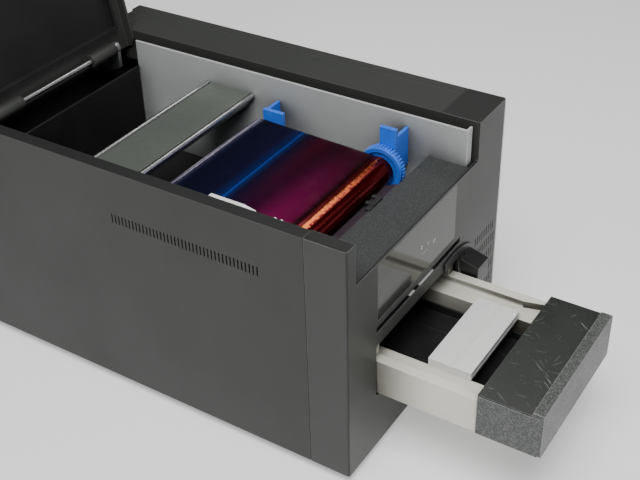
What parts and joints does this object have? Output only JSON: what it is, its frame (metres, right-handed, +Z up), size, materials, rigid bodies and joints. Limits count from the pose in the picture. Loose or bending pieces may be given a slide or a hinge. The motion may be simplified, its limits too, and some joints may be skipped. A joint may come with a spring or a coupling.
{
  "type": "card printer",
  "caption": "Large-format card printer with an inset lid hinged at the rear, a film ribbon bay, a front output slot and a pull-out card drawer.",
  "frame": {"origin": "on the table plane, in the middle of the stance of the four feet, under the middle of the casing", "axes": "+X to the right seen from the front, +Y to the rear (the drawer pulls out along -Y), +Z up"},
  "size_m": [0.28, 0.6226, 0.6301],
  "materials": {
    "case_paint": "fine textured powder coat",
    "front_moulding": "fine satin moulding",
    "deck_texture": "grained black-grey",
    "black_plastic": "satin",
    "gloss_overlay": "glossy overlay",
    "pale_sheet": "satin paint",
    "bright_steel": "ground",
    "satin_plate": "satin",
    "white_plastic": "satin",
    "blue_plastic": "satin",
    "take_film": "wound film",
    "supply_film_slot": "wound film",
    "web_film": "thin glossy film",
    "rubber": "matt",
    "tray_cream": "satin moulding",
    "drawer_grey": "satin, lightly scratched",
    "weight_alloy": "extruded, matt anodised",
    "board_green": "coated board",
    "silver_box": "plain sheet"
  },
  "bodies": {
    "casing": {"base_pan": "black_plastic", "rubber_feet": "rubber", "left_side_panel": "case_paint", "right_side_panel": "case_paint", "rear_panel": "case_paint", "rear_crossbar": "case_paint", "right_top_cover": "case_paint", "front_cap": "front_moulding", "display_panel": "gloss_overlay", "front_ledge": "deck_texture", "spool_apron": "black_plastic", "ribbon_sensor": "black_plastic", "inner_left_frame": "black_plastic", "inner_right_wall": "pale_sheet", "lid_strike": "pale_sheet", "bay_floor": "black_plastic", "card_guides": "black_plastic", "guide_rods": "bright_steel", "transfer_cover": "satin_plate", "left_spool_supports": "white_plastic", "ribbon_guide_rail": "white_plastic", "right_spool_supports": "blue_plastic", "ribbon_web": "web_film", "drive_belt": "rubber", "drawer_runners": "black_plastic", "hinge_brackets": "bright_steel", "hinge_rod": "bright_steel", "power_inlet": "black_plastic", "port_block": "black_plastic", "drive_motor": "black_plastic", "power_supply": "silver_box", "control_board": "board_green", "fan_frame": "black_plastic", "rear_screws": "bright_steel"},
    "lid": {"lid_shell": "case_paint", "lid_liner": "black_plastic", "head_bracket": "bright_steel", "print_head": "bright_steel", "head_springs": "bright_steel"},
    "drawer": {"drawer_tray": "tray_cream", "pocket_floor": "black_plastic", "drawer_front": "drawer_grey", "rest_plate": "drawer_grey"},
    "weight": {"card_weight": "weight_alloy"},
    "take_up_spool": {"take_up_core": "white_plastic", "take_up_film": "take_film", "take_up_flange": "blue_plastic"},
    "supply_spool": {"supply_core": "white_plastic", "supply_film": "supply_film_slot"},
    "pinion": {"spool_pinion": "white_plastic"},
    "platen": {"platen_roller": "rubber"},
    "feed": {"feed_roller": "rubber"},
    "exit": {"exit_roller": "rubber"},
    "motor_drive": {"motor_pulley": "bright_steel"},
    "pick": {"pick_roller": "rubber"},
    "lever": {"release_lever": "black_plastic"},
    "rocker": {"power_switch": "black_plastic"},
    "fan": {"fan_rotor": "black_plastic"}
  },
  "joints": [
    {"name": "lid_hinge", "type": "hinge", "parent": "casing", "child": "lid", "pos_m": [0, 0.181, 0.235], "axis": [1, 0, 0], "range_deg": [0, 100], "deforming": ["ribbon_web"]},
    {"name": "drawer_slide", "type": "slide", "parent": "casing", "child": "drawer", "axis": [0, 1, 0], "range_m": [0, 0.092]},
    {"name": "weight_lift", "type": "slide", "parent": "drawer", "child": "weight", "axis": [0, 0, 1], "range_m": [0, 0.015]},
    {"name": "take_up_spin", "type": "hinge", "parent": "casing", "child": "take_up_spool", "pos_m": [-0.04, -0.141, 0.1986], "axis": [1, 0, 0], "continuous": true},
    {"name": "pinion_spin", "type": "hinge", "parent": "casing", "child": "pinion", "pos_m": [0.045, -0.11793, 0.17924], "axis": [1, 0, 0], "continuous": true},
    {"name": "supply_spin", "type": "hinge", "parent": "casing", "child": "supply_spool", "pos_m": [-0.04, -0.019, 0.194], "axis": [1, 0, 0], "continuous": true},
    {"name": "platen_spin", "type": "hinge", "parent": "casing", "child": "platen", "pos_m": [-0.04, -0.087, 0.17125], "axis": [1, 0, 0], "continuous": true},
    {"name": "feed_spin", "type": "hinge", "parent": "casing", "child": "feed", "pos_m": [-0.04, 0.011, 0.149], "axis": [1, 0, 0], "continuous": true},
    {"name": "exit_spin", "type": "hinge", "parent": "casing", "child": "exit", "pos_m": [-0.04, -0.164, 0.14137], "axis": [1, 0, 0], "continuous": true},
    {"name": "motor_spin", "type": "hinge", "parent": "casing", "child": "motor_drive", "pos_m": [0.08, -0.043, 0.1457], "axis": [1, 0, 0], "continuous": true},
    {"name": "pick_spin", "type": "hinge", "parent": "casing", "child": "pick", "pos_m": [-0.019, -0.095, 0.1076], "axis": [1, 0, 0], "continuous": true},
    {"name": "lever_press", "type": "hinge", "parent": "casing", "child": "lever", "pos_m": [0.067, -0.203, 0.115], "axis": [1, 0, 0], "range_deg": [0, 6], "stiffness_Nm_per_rad": 0.6, "springref_deg": -8.59},
    {"name": "rocker_tilt", "type": "hinge", "parent": "casing", "child": "rocker", "pos_m": [-0.068, 0.2091, 0.054], "axis": [1, 0, 0], "range_deg": [0, 12]},
    {"name": "fan_spin", "type": "hinge", "parent": "casing", "child": "fan", "pos_m": [-0.002, 0.202, 0.126], "axis": [0, 1, 0], "continuous": true}
  ],
  "couplings": [
    {"joint": "pinion_spin", "follows": "take_up_spin", "ratio": -2.3333},
    {"joint": "feed_spin", "follows": "platen_spin", "ratio": 1},
    {"joint": "exit_spin", "follows": "platen_spin", "ratio": 1},
    {"joint": "motor_spin", "follows": "platen_spin", "ratio": 1}
  ]
}
